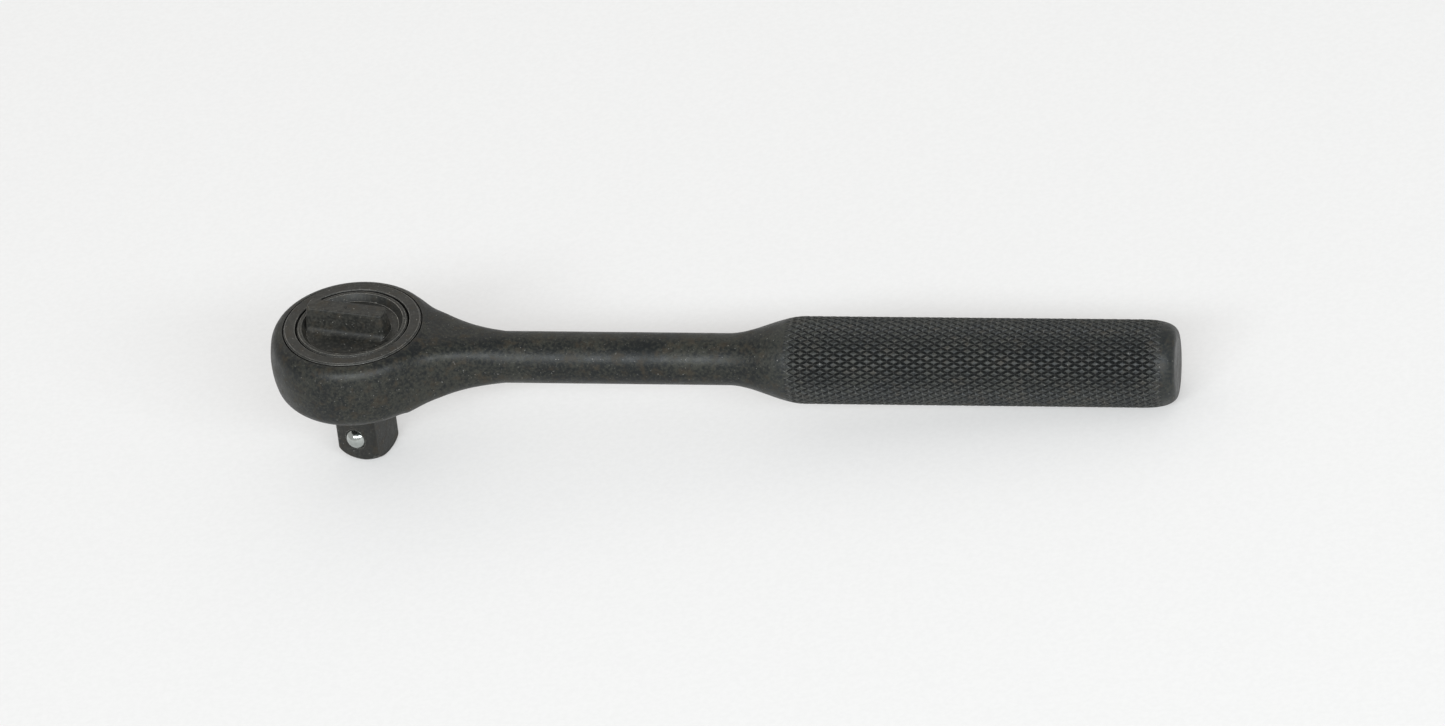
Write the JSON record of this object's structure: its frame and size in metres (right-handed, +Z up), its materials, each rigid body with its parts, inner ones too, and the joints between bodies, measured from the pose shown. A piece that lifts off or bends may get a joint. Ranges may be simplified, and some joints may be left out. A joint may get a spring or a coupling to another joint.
{
  "type": "ratchet wrench",
  "caption": "Round-head reversible ratchet wrench with a square drive, a thumb-bar reversing knob and a diamond-knurled straight handle.",
  "frame": {"origin": "on the drive axis at the head's bottom face", "axes": "+Z up the drive axis through the reversing knob, +X along the handle"},
  "size_m": [0.188, 0.0352, 0.0356],
  "materials": {
    "black_oxide_body": "worn black oxide over forged steel",
    "black_oxide_parts": "worn black oxide over machined steel",
    "hardened_steel": "ground and lightly oiled",
    "spring_steel": "drawn wire",
    "bright_ball": "polished ball"
  },
  "bodies": {
    "wrench_body": {"body": "black_oxide_body", "ring_gear": "hardened_steel", "thrust_washer": "hardened_steel", "cover_ring": "black_oxide_parts", "cover_retaining_ring": "spring_steel"},
    "core": {"drive_core": "black_oxide_parts", "core_top_plate": "hardened_steel", "pawl_pin_forward": "hardened_steel", "pawl_pin_reverse": "hardened_steel", "pawl_spring_forward": "spring_steel", "pawl_spring_reverse": "spring_steel", "drive_detent_spring": "spring_steel", "selector_detent_spring": "spring_steel", "knob_washer": "hardened_steel"},
    "selector": {"selector_knob": "black_oxide_parts", "selector_cam": "hardened_steel"},
    "forward_pawl": {"pawl_forward": "hardened_steel"},
    "reverse_pawl": {"pawl_reverse": "hardened_steel"},
    "drive_ball": {"drive_detent_ball": "bright_ball"},
    "selector_ball": {"selector_detent_ball": "bright_ball"}
  },
  "joints": [
    {"name": "drive_spin", "type": "hinge", "parent": "wrench_body", "child": "core", "pos_m": [0, 0, 0], "axis": [0, 0, 1], "continuous": true},
    {"name": "selector_turn", "type": "hinge", "parent": "core", "child": "selector", "pos_m": [0, 0, 0.016], "axis": [0, 0, 1], "range_deg": [0, 40]},
    {"name": "forward_pawl_swing", "type": "hinge", "parent": "core", "child": "forward_pawl", "pos_m": [-0.00297, -0.00913, 0.0085], "axis": [0, 0, 1], "range_deg": [0, 12.5], "deforming": ["pawl_spring_forward"]},
    {"name": "reverse_pawl_swing", "type": "hinge", "parent": "core", "child": "reverse_pawl", "pos_m": [-0.00642, 0.00713, 0.0085], "axis": [0, 0, 1], "range_deg": [0, 12.5], "deforming": ["pawl_spring_reverse"]},
    {"name": "drive_ball_press", "type": "slide", "parent": "core", "child": "drive_ball", "axis": [0.342, 0.9397, 0], "range_m": [0, 0.0014], "stiffness_N_per_m": 1000, "springref_m": -0.003, "deforming": ["drive_detent_spring"]},
    {"name": "selector_ball_press", "type": "slide", "parent": "core", "child": "selector_ball", "axis": [0, 0, -1], "range_m": [0, 0.0005], "stiffness_N_per_m": 400, "springref_m": -0.002, "deforming": ["selector_detent_spring"]}
  ],
  "couplings": [
    {"joint": "forward_pawl_swing", "follows": "selector_turn", "ratio": 0.3},
    {"joint": "reverse_pawl_swing", "follows": "selector_turn", "ratio": 0.3}
  ]
}
